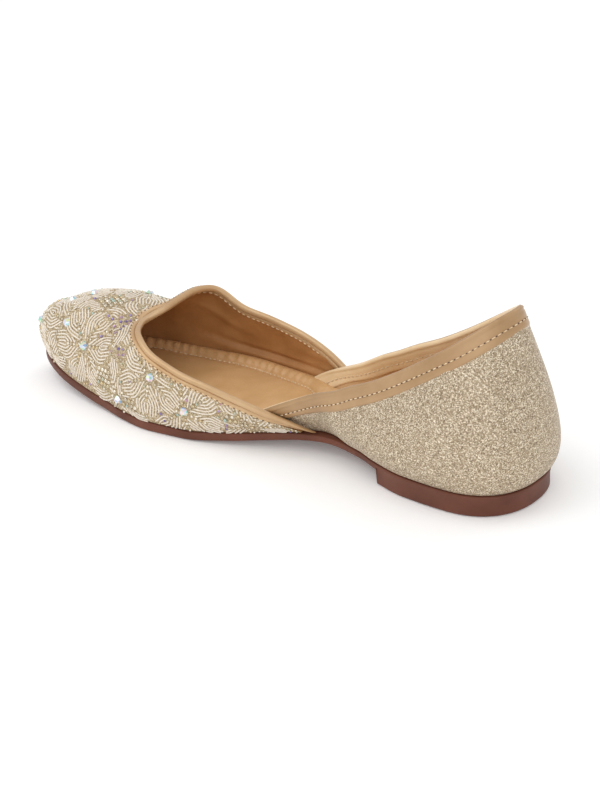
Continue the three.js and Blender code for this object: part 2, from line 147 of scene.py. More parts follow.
def turnOf(at):
    return math.acos(1 - 2 * at) / math.pi


def sideOf(turn):
    return np.where(wrap(turn) < 0, -1.0, 1.0)


def rounding(distance, length, fullness):
    return (1 - (1 - np.clip(distance / length, 0, 1)) ** fullness) ** (1 / fullness)


def heelRounding(at):
    return rounding(at * last["soleLength"], last["heelRound"], last["heelFullness"])


def treadHeight(at):
    return last["archHeight"] * read(profile, "arch", at) + last["toeSpring"] * read(profile, "spring", at)


def seatHeight(at):
    return treadHeight(at) + last["soleThickness"] * read(profile, "thick", at)


def stack(x, y, z):
    return np.stack(np.broadcast_arrays(x, y, z), axis=-1)


def unit(vectors):
    return vectors / np.maximum(np.linalg.norm(vectors, axis=-1, keepdims=True), 1e-12)


def dot(a, b):
    return (a * b).sum(axis=-1)


def paired(turn, up):
    return np.broadcast_arrays(np.asarray(turn, float), np.asarray(up, float))


def eased(share):
    return share * share * (3 - 2 * share)


def runOf(points):
    # the length along a line up to each of its points
    return np.concatenate([[0], np.cumsum(np.linalg.norm(np.diff(points, axis=0), axis=1))])


def resampled(values, run, places):
    return np.stack([np.interp(places, run, column) for column in values.T], axis=1)


def rawOutline(turn):
    at, side = atOf(turn), sideOf(turn)
    toe = rounding((1 - at) * last["soleLength"], last["toeRound"], last["toeFullness"])
    share = np.where(side > 0, read(plan, "inner", at), read(plan, "outer", at))
    half = last["ballWidth"] * share * heelRounding(at) * toe
    return stack(at * last["soleLength"], last["toeSwing"] * read(plan, "swing", at) + side * half, 0)


def outward(turn):
    step = 0.004
    along = unit(rawOutline(turn + step) - rawOutline(turn - step))
    return stack(-along[..., 1], along[..., 0], 0)


def outlinePoint(turn, inset, height):
    point = rawOutline(turn) - outward(turn) * np.asarray(inset, float)[..., None]
    return stack(point[..., 0], point[..., 1], height)


def lastPoint(turn, up):
    turn, up = paired(turn, up)
    at, side, out = atOf(turn), sideOf(turn), outward(turn)
    base = seatHeight(at) + last["seamGap"]
    foot = outlinePoint(turn, np.full(turn.shape, last["featherInset"]), base)
    instep = read(ribs, "vamp", at) + np.where(side < 0, read(ribs, "tilt", at), 0)
    lift = last["collarHeight"] * read(ribs, "collar", at) + last["vampHeight"] * instep
    half = last["ballWidth"] * read(ribs, "crestHalf", at) * heelRounding(at)
    middle = last["ballWidth"] * read(ribs, "lean", at)
    crest = stack(last["soleLength"] * read(ribs, "crestX", at), middle + side * half, base + lift)
    low = foot + out * (last["swell"] * read(ribs, "swell", at))[..., None]
    low[..., 2] += lift * read(ribs, "rise", at)
    high = crest + out * (last["swell"] * read(ribs, "crown", at))[..., None]
    high[..., 2] -= lift * read(ribs, "drop", at)
    u = up[..., None]
    return foot * (1 - u) ** 3 + low * 3 * u * (1 - u) ** 2 + high * 3 * u * u * (1 - u) + crest * u**3


def inward(turn, up):
    turn, up = paired(turn, up)
    step = 0.004
    sweep = lastPoint(turn + step, up) - lastPoint(turn - step, up)
    rise = lastPoint(turn, np.minimum(1, up + step)) - lastPoint(turn, np.maximum(0, up - step))
    normal = unit(np.cross(sweep, rise))
    ridge = (up > 0.9999) & (atOf(turn) >= last["throatAt"] - 1e-6)
    near = 1 - np.abs(1 - np.abs(turn % 2))
    ahead = lastPoint(np.minimum(1, near + step), 1.0) - lastPoint(near - step, 1.0)
    onRidge = unit(stack(ahead[..., 2], 0, -ahead[..., 0]))
    return np.where(ridge[..., None], onRidge, normal)


def wallWay(turn, up):
    # the way the wall's thickness runs: level at the foot, square to the face further up
    turn, up = paired(turn, up)
    share = eased(np.clip(up / last["footBlend"], 0, 1)[..., None])
    return unit(inward(turn, up) * share - outward(turn) * (1 - share))


def skin(turn, up, depth):
    return lastPoint(turn, up) + wallWay(turn, up) * np.asarray(depth, float)[..., None]


def walk(turn, up, along, distance):
    paces, step = 4, 0.002
    for _ in range(paces):
        high = np.minimum(1, up + step)
        sweep = (lastPoint(turn + step, up) - lastPoint(turn - step, up)) / (2 * step)
        rise = (lastPoint(turn, high) - lastPoint(turn, high - 2 * step)) / (2 * step)
        pace = np.broadcast_to(distance / paces, np.shape(turn))
        heading = unit(np.cross(along, np.cross(sweep, rise))) * pace[..., None]
        rr, ru, uu = dot(sweep, sweep), dot(sweep, rise), dot(rise, rise)
        hr, hu = dot(heading, sweep), dot(heading, rise)
        det = rr * uu - ru * ru
        turn = turn + (hr * uu - hu * ru) / det
        up = np.minimum(1, up + (hu * rr - hr * ru) / det)
    return turn, np.maximum(last["bandFoot"], up)


def evenPlaces(edge, start, end, count):
    fine = np.linspace(start, end, 900)
    points = lastPoint(fine, read(edge, "up", atOf(fine)))
    run = runOf(points)
    turn = np.interp(np.linspace(0, run[-1], count + 1), run, fine)
    return turn, read(edge, "up", atOf(turn))


def lowered(places, distance):
    turn, up = places
    points = lastPoint(turn, up)
    along = unit(np.gradient(points, axis=0))
    return walk(turn, up, along, distance)


outlineY = rawOutline(np.linspace(-1, 1, 801))[..., 1]
soleLow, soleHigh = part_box("outsole")
shift = np.array([
    soleLow[0] / mm,
    (soleLow[1] + soleHigh[1]) / 2 / mm - (outlineY.min() + outlineY.max()) / 2,
    0,
])  # from the last's own place to the frame's


def toFrame(points):
    return (np.asarray(points, float) + shift) * mm


def gridFaces(rows, cols, offset=0, flip=False):
    i, j = np.meshgrid(np.arange(rows - 1), np.arange(cols - 1), indexing="ij")
    a = offset + i * cols + j
    faces = np.stack([a, a + 1, a + cols + 1, a + cols], axis=-1).reshape(-1, 4)
    return faces[:, ::-1] if flip else faces


def linear(hexColour):
    values = [int(hexColour[i:i + 2], 16) / 255 for i in (1, 3, 5)]
    return tuple(v / 12.92 if v <= 0.04045 else ((v + 0.055) / 1.055) ** 2.4 for v in values) + (1,)


def addNode(tree, kind, settings=None, **inputs):
    node = tree.nodes.new(kind)
    for name, value in (settings or {}).items():
        setattr(node, name, value)
    for name, value in inputs.items():
        key = int(name[1:]) if name[0] == "_" and name[1:].isdigit() else name.replace("_", " ")
        socket = node.inputs[key]
        if isinstance(value, bpy.types.NodeSocket):
            tree.links.new(value, socket)
        else:
            socket.default_value = value
    return node


def made(tree, kind, settings=None, **inputs):
    # a new node's first output
    return addNode(tree, kind, settings, **inputs).outputs[0]


def newMaterial(name):
    material = bpy.data.materials.new(name)
    material.use_nodes = True
    tree = material.node_tree
    shader = tree.nodes["Principled BSDF"]
    place = addNode(tree, "ShaderNodeTexCoord").outputs["Object"]
    return material, tree, shader, place


def ramp(tree, value, *stops):
    node = addNode(tree, "ShaderNodeValToRGB", Fac=value)
    elements = node.color_ramp.elements
    while len(elements) < len(stops):
        elements.new(0.5)
    for element, (place, colour) in zip(elements, stops):
        element.position = place
        element.color = linear(colour)
    return node.outputs["Color"]


def setShader(shader, **values):
    for name, value in values.items():
        shader.inputs[name.replace("_", " ")].default_value = value


def perMetre(sizeMm):
    return 1 / (sizeMm * mm)


def noise(tree, place, sizeMm, detail):
    return made(tree, "ShaderNodeTexNoise", Vector=place, Scale=perMetre(sizeMm), Detail=detail)


def cells(tree, place, sizeMm):
    return addNode(tree, "ShaderNodeTexVoronoi", Vector=place, Scale=perMetre(sizeMm)).outputs


def channels(tree, colour):
    return addNode(tree, "ShaderNodeSeparateColor", Color=colour).outputs


def worked(tree, operation, *values):
    inputs = {f"_{i}": value for i, value in enumerate(values)}
    return made(tree, "ShaderNodeMath", {"operation": operation}, **inputs)


def emboss(tree, shader, height, strength, deepMm):
    bump = made(tree, "ShaderNodeBump", Strength=strength, Distance=deepMm * mm, Height=height)
    tree.links.new(bump, shader.inputs["Normal"])


def paint(tree, shader, colour, **values):
    tree.links.new(colour, shader.inputs["Base Color"])
    setShader(shader, **values)


# Patterns: their sizes in millimetres, and how the foil's flakes spread in tone and gloss
pattern = {
    "hideTone": 14, "rubberTone": 22, "rubberGrit": 0.7, "gritDepth": 0.2, "facet": 1.3, "ply": 0.8,
    "plyDepth": 0.15,
}
foil = {"drift": 0.22, "range": 0.82, "dull": 0.35}


def softLeather(name, light, dark, grain, gloss, metal):
    # finished hide: fine pebbled grain, a slow change of tone, and a satin top coat
    material, tree, shader, place = newMaterial(name)
    tone = noise(tree, place, pattern["hideTone"], 3.0)
    pebble, pores = cells(tree, place, grain)["Distance"], noise(tree, place, grain * 3, 4.0)
    emboss(tree, shader, worked(tree, "ADD", pebble, pores), 0.12, grain * 0.4)
    colour = ramp(tree, tone, (0.32, dark), (0.68, light))
    paint(tree, shader, colour, Roughness=gloss, Metallic=metal, Specular_IOR_Level=0.4)
    return material


def glitterCloth(name, flake, stops, metal, gloss, depth):
    # cloth covered in crushed foil: each flake has its own tone and its own tilt
    material, tree, shader, place = newMaterial(name)
    flakes = channels(tree, cells(tree, place, flake)["Color"])
    drift = noise(tree, place, flake * 3, 2.0)
    mixed = worked(tree, "MULTIPLY_ADD", drift, foil["drift"], flakes["Red"])
    shade = worked(tree, "MULTIPLY", mixed, foil["range"])
    rough = made(
        tree, "ShaderNodeMapRange", Value=flakes["Green"], To_Min=gloss, To_Max=gloss + foil["dull"]
    )
    tree.links.new(rough, shader.inputs["Roughness"])
    emboss(tree, shader, flakes["Blue"], depth, flake * 0.6)
    paint(tree, shader, ramp(tree, shade, *stops), Metallic=metal)
    return material


def mouldedRubber(name, light, dark):
    # thermoplastic unit sole: even, faintly mottled, matt where the mould was blasted
    material, tree, shader, place = newMaterial(name)
    tone = noise(tree, place, pattern["rubberTone"], 5.0)
    grit = noise(tree, place, pattern["rubberGrit"], 3.0)
    emboss(tree, shader, grit, 0.14, pattern["gritDepth"])
    colour = ramp(tree, tone, (0.35, dark), (0.65, light))
    paint(tree, shader, colour, Roughness=0.5, Specular_IOR_Level=0.25)
    return material


def tinted(name, stops, metal, gloss, coat):
    # small trims: the tone comes from each one's own tint
    material, tree, shader, _ = newMaterial(name)
    tint = addNode(tree, "ShaderNodeAttribute", {"attribute_name": "tint"}).outputs["Fac"]
    paint(tree, shader, ramp(tree, tint, *stops), Metallic=metal, Roughness=gloss, Coat_Weight=coat)
    return material


def cutGlass(name, hues):
    # foiled glass with an iridescent coat: each facet throws back a different pale hue
    material, tree, shader, place = newMaterial(name)
    facet = channels(tree, cells(tree, place, pattern["facet"])["Color"])["Red"]
    stops = [(i / len(hues), hue) for i, hue in enumerate(hues)]
    paint(tree, shader, ramp(tree, facet, *stops), Metallic=0.45, Roughness=0.07, Coat_Weight=1.0)
    return material


def twistedThread(name, light, dark, gloss):
    # spun yarn: painted highlight on the crowns of its plies, from the same noise as their bumps, and
    # painted shade between them
    material, tree, shader, place = newMaterial(name)
    ply = noise(tree, place, pattern["ply"], 2.0)
    emboss(tree, shader, ply, 0.3, pattern["plyDepth"])
    paint(tree, shader, ramp(tree, ply, (0.3, dark), (0.62, light)), Roughness=gloss, Sheen_Weight=0.3)
    return material


finish = {
    "rubber": mouldedRubber("moulded brown rubber", "#744636", "#603729"),
    "bindingLeather": softLeather("light gold leather", "#ccaa80", "#bf9a70", 0.8, 0.3, 0.2),
    "bandLeather": softLeather("gold leather", "#b8966f", "#a98660", 0.8, 0.36, 0.2),
    # the band's inside half: the same gold leather painted much paler, as painted light
    "bandInsidePaintedLight": softLeather("gold leather with painted light", "#f4dab2", "#e8ca9f", 0.8, 0.32, 0.0),
    "lining": softLeather("tan lining leather", "#bd8a58", "#a87645", 1.0, 0.5, 0.0),
    "facing": softLeather("tan facing leather", "#d2ab7d", "#c39a6c", 1.0, 0.45, 0.0),
    "sock": softLeather("tan sock leather", "#d8ad7a", "#ca9e6a", 1.2, 0.38, 0.0),
    "quarterCloth": glitterCloth(
        "champagne glitter cloth", 0.33,
        ((0.05, "#685640"), (0.3, "#9a866b"), (0.65, "#c1ae93"), (0.95, "#fdf3de")), 0.3, 0.34, 0.4,
    ),
    "vampCloth": glitterCloth(
        "champagne metallic weave", 0.42,
        ((0.05, "#806c4e"), (0.3, "#a8926f"), (0.65, "#c3b08f"), (0.95, "#eaddc4")), 0.25, 0.4, 0.5,
    ),
    "zari": twistedThread("ivory silk thread", "#f4ebdd", "#dacbb7", 0.42),
    "stitch": twistedThread("beige sewing thread", "#efd9b6", "#c9a97c", 0.55),
    "hole": twistedThread("needle hole shadow", "#5a3d28", "#3f2918", 0.8),
    "bead": tinted(
        "foiled glass bead",
        ((0.0, "#f2ead9"), (0.45, "#c4b8a4"), (0.8, "#d6c096"), (1.0, "#a9bdb4")), 0.9, 0.12, 0.4,
    ),
    "crystal": cutGlass("iridescent cut glass", ("#8fa7e6", "#a9e0cf", "#e8efb0", "#f2d3dc", "#dfe9fb")),
    "violet": tinted(
        "violet cut glass", ((0.0, "#6f5a96"), (0.5, "#9c86b8"), (1.0, "#cf9fb0")), 0.5, 0.1, 1.0
    ),
}
print("materials made")

weldGap = 0.01  # points closer than this, in millimetres, become one


def addObject(name, data):
    added = bpy.data.objects.new(name, data)
    bpy.context.collection.objects.link(added)
    return added


def makePiece(name, points, faces, materials, which=None, sharp=None):
    mesh = bpy.data.meshes.new(name)
    mesh.from_pydata(toFrame(points).tolist(), [], [list(map(int, face)) for face in faces])
    for material in materials:
        mesh.materials.append(material)
    if which is not None:
        mesh.polygons.foreach_set("material_index", np.asarray(which, np.int32))
    work = bmesh.new()
    work.from_mesh(mesh)
    bmesh.ops.remove_doubles(work, verts=work.verts, dist=weldGap * mm)
    bmesh.ops.dissolve_degenerate(work, edges=work.edges, dist=1e-7)
    bmesh.ops.recalc_face_normals(work, faces=work.faces)
    work.to_mesh(mesh)
    work.free()
    mesh.polygons.foreach_set("use_smooth", np.ones(len(mesh.polygons), bool))
    if sharp:
        mesh.set_sharp_from_angle(angle=math.radians(sharp))
    return addObject(name, mesh)


def ringFaces(rings, count):
    faces = []
    for k in range(rings - 1):
        for i in range(count):
            j = (i + 1) % count
            faces.append((k * count + i, k * count + j, (k + 1) * count + j, (k + 1) * count + i))
    return faces


def ringBody(rings):
    # a flat body from rings round the outline, filled across from side to side
    count = len(rings[0])
    points, faces = np.concatenate(rings), ringFaces(len(rings), count)
    for base in (0, (len(rings) - 1) * count):
        for i in range(count // 2):
            a, b, c, d = i, i + 1, (count - i - 1) % count, (count - i) % count
            corners = list(dict.fromkeys([base + a, base + b, base + c, base + d]))
            if len(corners) > 2:
                faces.append(tuple(corners if base == 0 else corners[::-1]))
    return points, faces


# Outsole: plate, low heel with a straight breast, and a bevel round the tread, in one moulding
sole = {
    "steps": 300, "bevel": 0.9, "bevelSteps": 5, "heelLength": 62, "heelInset": 0.4, "breastRound": 0.5,
    "edge": ((0, 0.45), (0.12, 0.18), (0.45, 0)),  # the seat's rounded edge: in, and down from the seat
}


def soleTurns():
    breast = turnOf(sole["heelLength"] / last["soleLength"])
    soften = sole["breastRound"] / last["soleLength"]
    ahead = turnOf((sole["heelLength"] + sole["breastRound"]) / last["soleLength"])
    half = np.linspace(0, 1, sole["steps"] // 2 + 1)
    half = half[(half < breast - soften) | (half > ahead + soften)]
    half = np.sort(np.concatenate([half, [breast - 1e-6, breast + 1e-6, ahead]]))
    return np.concatenate([half, -half[-2:0:-1]])


def soleFoot(turn):
    at = atOf(turn)
    return np.where(at * last["soleLength"] < sole["heelLength"], 0, treadHeight(at))


def outsole():
    turn = soleTurns()
    at = atOf(turn)
    foot, seat = soleFoot(turn), seatHeight(at)
    inHeel = np.where(foot < treadHeight(at) - 0.5, sole["heelInset"], 0)
    rings = []
    for share in np.linspace(0, 1, sole["bevelSteps"]):
        angle = share * math.pi / 2
        inset = sole["bevel"] * (1 - math.sin(angle)) + inHeel
        rings.append(outlinePoint(turn, inset, foot + sole["bevel"] * (1 - math.cos(angle))))
    middle = (treadHeight(at) + seat) / 2
    rings.append(outlinePoint(turn, inHeel, np.maximum(middle - 0.6, foot + sole["bevel"])))
    rings.append(outlinePoint(turn, inHeel * 0, middle + 0.2))
    for inset, down in sole["edge"]:
        rings.append(outlinePoint(turn, np.full(turn.shape, inset), seat - down))
    points, faces = ringBody(rings)
    return makePiece("outsole_moulding", points, faces, [finish["rubber"]], sharp=40)


# Insole: soft sock with a gathered, stitched border and a low crown
sock = {
    "steps": 560, "thickness": 2.2, "crown": 1.1, "gap": 0.4, "border": 6.2, "roll": 2.6, "gather": 4.5,
    "gatherDepth": 1.5, "touch": 3.4, "tuckFrom": 0.45, "tuckFade": 0.05, "footInset": 0.6,
    "probeUp": 0.6, "probes": 25, "stitchPitch": 2.4, "stitch": 1.6, "stitchWidth": 0.62,
    "foot": (0.4, 1.1, 1.8, 2.6),  # heights of the rings that follow the wall
    "over": (0, 0.06, 0.14, 0.24, 0.34, 0.44, 0.54, 0.64, 0.74, 0.83, 0.9, 0.96),  # across the border
    "past": (0, 0.3, 0.7, 1.4, 2.4, 3.6, 5.0),  # inside the stitches, in millimetres
}
wingGap, bindingProud = 0.3, 0.6
quarterTuck = last["upperWall"] + bindingProud * 2 + wingGap


def wallTuck(at):
    return quarterTuck * read(tuck, "share", at) * (at < last["throatAt"])


def noTuck(at):
    return 0 * at


def sockEdge(turn):
    at = atOf(turn)
    fade = np.clip((at - sock["tuckFrom"]) / sock["tuckFade"], 0, 1)
    tucked = wallTuck(at) * (1 - eased(fade))
    return last["upperWall"] + sock["gap"] + last["featherInset"] + tucked


def sockInset(turn, height):
    # how far in from the outline the upper's inner face stands at a height, less the sock's gap
    at = atOf(turn)
    base = seatHeight(at) + last["seamGap"]
    away = sockEdge(turn) - last["featherInset"]
    shares = np.linspace(0, sock["probeUp"], sock["probes"])[:, None] * np.ones(len(turn))
    wall = skin(turn[None] * np.ones_like(shares), shares, np.broadcast_to(away, shares.shape))
    inset = -dot(wall - outlinePoint(turn, 0 * at, 0)[None] * [1, 1, 0], outward(turn)[None])
    rise = wall[..., 2] - base
    return np.array([np.interp(height, rise[:, i], inset[:, i]) for i in range(len(turn))])


def sockTop(share, around):
    # height over the sock's base at a share of the border's width in from its edge
    phase = np.pi * around / sock["gather"] + 0.9 * np.sin(around / 17) + 0.7 * np.sin(around / 6.1)
    waves = 2 * np.abs(np.sin(phase)) - 1
    uneven = 0.6 + 0.4 * np.sin(around / 11 + 1) * np.sin(around / 5.3)
    puckered = np.clip((share - 0.25) / 0.45, 0, 1)
    roll = np.sin(np.pi * np.clip(0.12 + 0.88 * share, 0, 1)) ** 0.7 if share < 1 else 0
    return sock["thickness"] + roll * (sock["roll"] + sock["gatherDepth"] * waves * uneven * puckered)


def sockPull(inset, around):
    # past the stitches: the dip of the seam, the pull of the gathers and the padding's low crown
    waves = np.abs(np.sin(np.pi * around / sock["gather"] + 0.9 * np.sin(around / 17)))
    rise = min(1, inset / 5)
    dip = -0.5 * math.exp(-((inset / 0.7) ** 2))
    pull = 0.4 * waves * math.exp(-inset / 2.5)
    return sock["thickness"] + dip + pull + sock["crown"] * eased(rise)


def insole():
    half = sock["steps"] // 2
    turn = np.linspace(-1, 1, sock["steps"] + 1)[1:]
    turn = np.roll(turn, -(half - 1))  # starts at the heel
    at = atOf(turn)
    edge = sockEdge(turn)
    top = sockInset(turn, sock["touch"])
    outline = outlinePoint(turn, edge, 0 * at)
    around = np.cumsum(np.linalg.norm(np.diff(outline, axis=0, prepend=outline[-1:]), axis=1))
    base = seatHeight(at) + last["seamGap"]
    rings = [outlinePoint(turn, edge + sock["footInset"], base)]
    for height in sock["foot"]:
        rings.append(outlinePoint(turn, sockInset(turn, height), base + height))
    for share in sock["over"]:
        inset = top + (edge + sock["border"] - top) * share
        rings.append(outlinePoint(turn, inset, base + sockTop(share, around)))
    for past in sock["past"]:
        rings.append(outlinePoint(turn, edge + sock["border"] + past, base + sockPull(past, around)))
    points, faces = ringBody(rings)
    return makePiece("insole_sock", points, faces, [finish["sock"]])


# Upper: two shells, each a cloth face, a leather lining and a rim between them
upper = {"toeSteps": 90, "upSteps": 48, "underBand": 1.2}

# Creases, placed by turn and share up; their sizes in millimetres
creaseColumns = "turn up slant long wide deep"
creases = {
    "vampLining": listed(
        creaseColumns,
        (-0.58, 0.19, 0.25, 34, 1.2, 1.3), (-0.58, 0.14, 0.25, 36, 1.4, -1.0),
        (-0.66, 0.42, -0.3, 16, 2.4, -0.9), (-0.5, 0.42, 0.2, 18, 2.6, -0.7),
        (0.54, 0.3, 0.3, 30, 2.2, -0.9),
    ),
    "vampFace": listed(creaseColumns, (0.47, 0.5, 0, 22, 5, 0.35), (-0.47, 0.5, 0, 22, 5, 0.35)),
    "quarterFace": listed(
        creaseColumns,
        (0.2, 0.42, 0, 24, 9, 0.5), (-0.2, 0.42, 0, 24, 9, 0.5), (0.33, 0.3, 1.5, 18, 5, -0.4),
        (-0.33, 0.3, -1.5, 18, 5, -0.4), (0.06, 0.72, 0, 12, 7, 0.3),
    ),
}


def creased(points, normals, turn, up, marks):
    # a positive depth presses the face into the wall, a negative one lets it stand out
    step = 0.01
    for mark in marks:
        t, u = mark["turn"], mark["up"]
        sweep = np.linalg.norm(lastPoint(t + step, u) - lastPoint(t - step, u)) / (2 * step)
        rise = np.linalg.norm(lastPoint(t, u + step) - lastPoint(t, u - step)) / (2 * step)
        away = wrap(turn - t)
        lengthwise = away * sweep
        across = (up - u - mark["slant"] * away) * rise
        shape = np.exp(-((lengthwise / mark["long"]) ** 2) - (across / mark["wide"]) ** 2)
        points = points + normals * (mark["deep"] * shape)[..., None]
    return points


def shell(name, turns, tops, depthAt, rimmed, materials, faceMarks, liningMarks):
    shares = np.linspace(0, 1, upper["upSteps"] + 1)
    turn = np.repeat(turns[:, None], len(shares), axis=1)
    up = tops[:, None] * shares[None, :]
    normals = wallWay(turn, up)
    depth = depthAt(atOf(turn))
    outer = creased(lastPoint(turn, up) + normals * depth[..., None], normals, turn, up, faceMarks)
    inner = lastPoint(turn, up) + normals * (depth + last["upperWall"])[..., None]
    inner = creased(inner, -normals, turn, up, liningMarks)
    rows, cols = turn.shape
    size = rows * cols
    points = np.concatenate([outer.reshape(-1, 3), inner.reshape(-1, 3)])
    faces = [gridFaces(rows, cols), gridFaces(rows, cols, size, True)]
    counts = [len(faces[0]), len(faces[1])]
    rims = []
    for i in range(rows - 1):
        a, b = i * cols, (i + 1) * cols
        rims.append((a, b, b + size, a + size))
        if rimmed[i]:
            top = cols - 1
            rims.append((a + top, a + top + size, b + top + size, b + top))
    for row in (0, rows - 1):
        for j in range(cols - 1):
            a = row * cols + j
            rims.append((a, a + size, a + 1 + size, a + 1))
    allFaces = np.concatenate([*faces, np.array(rims)])
    which = np.concatenate([np.zeros(counts[0]), np.ones(counts[1]), np.ones(len(rims))])
    piece = makePiece(name, points, allFaces, [finish[key] for key in materials], which, sharp=60)
    return piece, outer


# Bands: seam is the stitches' way down from the edge, sewn and lined are the shares of the length
# between which the outer and the inner stitches run, a channel has its place, half width and depth
wing = {
    "width": 5.0, "steps": 200, "roll": 2.1, "lip": 0.35, "dip": -0.4, "channel": None, "taper": 22,
    "seam": 4.2, "sewn": (0.44, 1), "lined": (0.5, 1),
}
collar = {
    "width": 8.5, "steps": 360, "roll": 1.5, "lip": 0.35, "dip": 0.6, "channel": (5.4, 0.9, 0.2),
    "taper": 0, "seam": 5.4, "sewn": (0, 0.49), "lined": (0, 0.48),
}
wingTurn, throatTurn = turnOf(vampEdge["at"][0]), turnOf(last["throatAt"])
wingNear = evenPlaces(vampEdge, wingTurn, throatTurn, wing["steps"])
wingFar = evenPlaces(vampEdge, 2 - throatTurn, 2 - wingTurn, wing["steps"])
wingPlaces = tuple(np.concatenate([near, far[1:]]) for near, far in zip(wingNear, wingFar))
collarTurn = turnOf(quarterEdge["at"][-1])
collarPlaces = evenPlaces(quarterEdge, -collarTurn, collarTurn, collar["steps"])


def vampShell():
    turn, up = lowered(wingPlaces, wing["width"] - upper["underBand"])
    mid = wing["steps"]
    throat = turn[mid]
    ridge = np.linspace(throat, 2 - throat, 2 * upper["toeSteps"] + 1)
    near = up[:mid] > last["bandFoot"] + 0.01
    far = up[mid + 1:] > last["bandFoot"] + 0.01
    turns = np.concatenate([turn[:mid][near], ridge, turn[mid + 1:][far]])
    tops = np.concatenate([up[:mid][near], np.ones(len(ridge)), up[mid + 1:][far]])
    i = np.arange(len(turns) - 1)
    rimmed = (i < near.sum()) | (i >= near.sum() + len(ridge) - 1)
    return shell(
        "vamp_shell", turns, tops, noTuck, rimmed, ("vampCloth", "lining"),
        creases["vampFace"], creases["vampLining"],
    )


def quarterShell():
    turn, up = lowered(collarPlaces, collar["width"] - upper["underBand"])
    tall = up > last["bandFoot"] + 0.01
    turn, up = turn[tall], up[tall]
    rimmed = np.ones(len(turn) - 1, bool)
    return shell(
        "quarter_shell", turn, up, wallTuck, rimmed, ("quarterCloth", "facing"), creases["quarterFace"], ()
    )


bandSmoothing = 40  # passes that take the kinks out of a band along its length
bandEnd = {"narrow": 0.08, "thin": 0.35}  # what is left of a tapered band at its very end


def smoothed(rows):
    for _ in range(bandSmoothing):
        rows[1:-1] = (rows[:-2] + 2 * rows[1:-1] + rows[2:]) / 4
    return rows


def foldedBand(name, places, band, depthAt, materials):
    # over the length given by taper the band narrows and thins towards its ends
    narrow, thin = bandEnd["narrow"], bandEnd["thin"]
    run = runOf(lastPoint(*places))
    ends = np.minimum(run, run[-1] - run)
    full = np.ones(len(run))
    if band["taper"]:
        full = np.clip(narrow + (1 - narrow) * ends / band["taper"], 0, 1)
    middle = last["upperWall"] / 2
    rows = []
    for down, depth in bandSection(band):
        turn, up = lowered(places, down * band["width"] * full) if down > 0 else places
        thinned = middle + (depth - middle) * (thin + (1 - thin) * full)
        rows.append(skin(turn, up, depthAt(atOf(turn)) + thinned))
    rows = smoothed(np.stack(rows, axis=1))
    size, count = rows.shape[:2]
    faces = ringFaces(size, count)
    faces.append(tuple(range(count)))
    faces.append(tuple(range((size - 1) * count, size * count))[::-1])
    inner = [j >= count // 2 for j in range(count)] * (size - 1) + [0, 0]  # the half inside the shoe
    return makePiece(name, rows.reshape(-1, 3), faces, [finish[key] for key in materials], inner, sharp=75)


def bandSection(band):
    # distance down from the edge as a share of the width, and depth into the wall in millimetres:
    # thin lip, flat leather with the stitches' channel, a dip where the roll begins, and the roll
    roll, width = band["roll"], band["width"]
    wall, proud = last["upperWall"], bindingProud
    half = wall / 2 + proud
    outer = [(1.0, -0.1), (0.985, -band["lip"]), (0.9, -proud)]
    if band["channel"]:
        at, wide, deep = (value / width for value in band["channel"])
        outer += [(at + wide, -proud), (at, -proud + deep * width), (at - wide, -proud)]
    outer += [(roll * 1.25 / width + 0.08, -proud), (roll * 1.25 / width, -proud * band["dip"])]
    arch = []
    for share in np.linspace(0, 1, 9):
        angle = math.pi * share
        arch.append((roll / width * (1 - math.sin(angle)) * 0.9, wall / 2 - half * math.cos(angle) * 1.04))
    inner = [(down, wall - depth) for down, depth in reversed(outer)]
    return outer + arch + inner


def pointMesh(name, points, aims, extra=None, chains=None):
    mesh = bpy.data.meshes.new(name)
    edges = []
    if chains:
        edges = [(i, i + 1) for start, count in chains for i in range(start, start + count - 1)]
    mesh.from_pydata(toFrame(points).tolist(), edges, [])
    aim = mesh.attributes.new("aim", "FLOAT_VECTOR", "POINT")
    aim.data.foreach_set("vector", np.asarray(aims, np.float32).ravel())
    for key, values in (extra or {}).items():
        layer = mesh.attributes.new(key, "FLOAT", "POINT")
        layer.data.foreach_set("value", np.asarray(values, np.float32))
    return addObject(name, mesh)


def newTree(name, *numbers):
    # every tree takes geometry, its own numbers and a finish
    tree = bpy.data.node_groups.new(name, "GeometryNodeTree")
    for label, kind in (("Geometry", "Geometry"), *((n, "Float") for n in numbers), ("Finish", "Material")):
        tree.interface.new_socket(label, in_out="INPUT", socket_type=f"NodeSocket{kind}")
    tree.interface.new_socket("Geometry", in_out="OUTPUT", socket_type="NodeSocketGeometry")
    return tree, tree.nodes.new("NodeGroupInput").outputs


def endTree(tree, group, result, smooth=True):
    result = made(tree, "GeometryNodeRealizeInstances", Geometry=result)
    if smooth:
        result = made(tree, "GeometryNodeSetShadeSmooth", Geometry=result)
    result = made(tree, "GeometryNodeSetMaterial", Geometry=result, Material=group["Finish"])
    tree.links.new(result, tree.nodes.new("NodeGroupOutput").inputs["Geometry"])
    return tree


def bakeTree(piece, tree, **values):
    # applies the tree to the piece and keeps only the plain mesh that comes out
    modifier = piece.modifiers.new(tree.name, "NODES")
    modifier.node_group = tree
    for item in tree.interface.items_tree:
        if item.in_out == "INPUT" and item.name in values:
            modifier[item.identifier] = values[item.name]
    graph = bpy.context.evaluated_depsgraph_get()
    graph.update()
    mesh = bpy.data.meshes.new_from_object(piece.evaluated_get(graph), depsgraph=graph)
    piece.modifiers.clear()
    piece.data = mesh
    return piece


def readAttribute(tree, name, kind):
    return made(tree, "GeometryNodeInputNamedAttribute", {"data_type": kind}, Name=name)


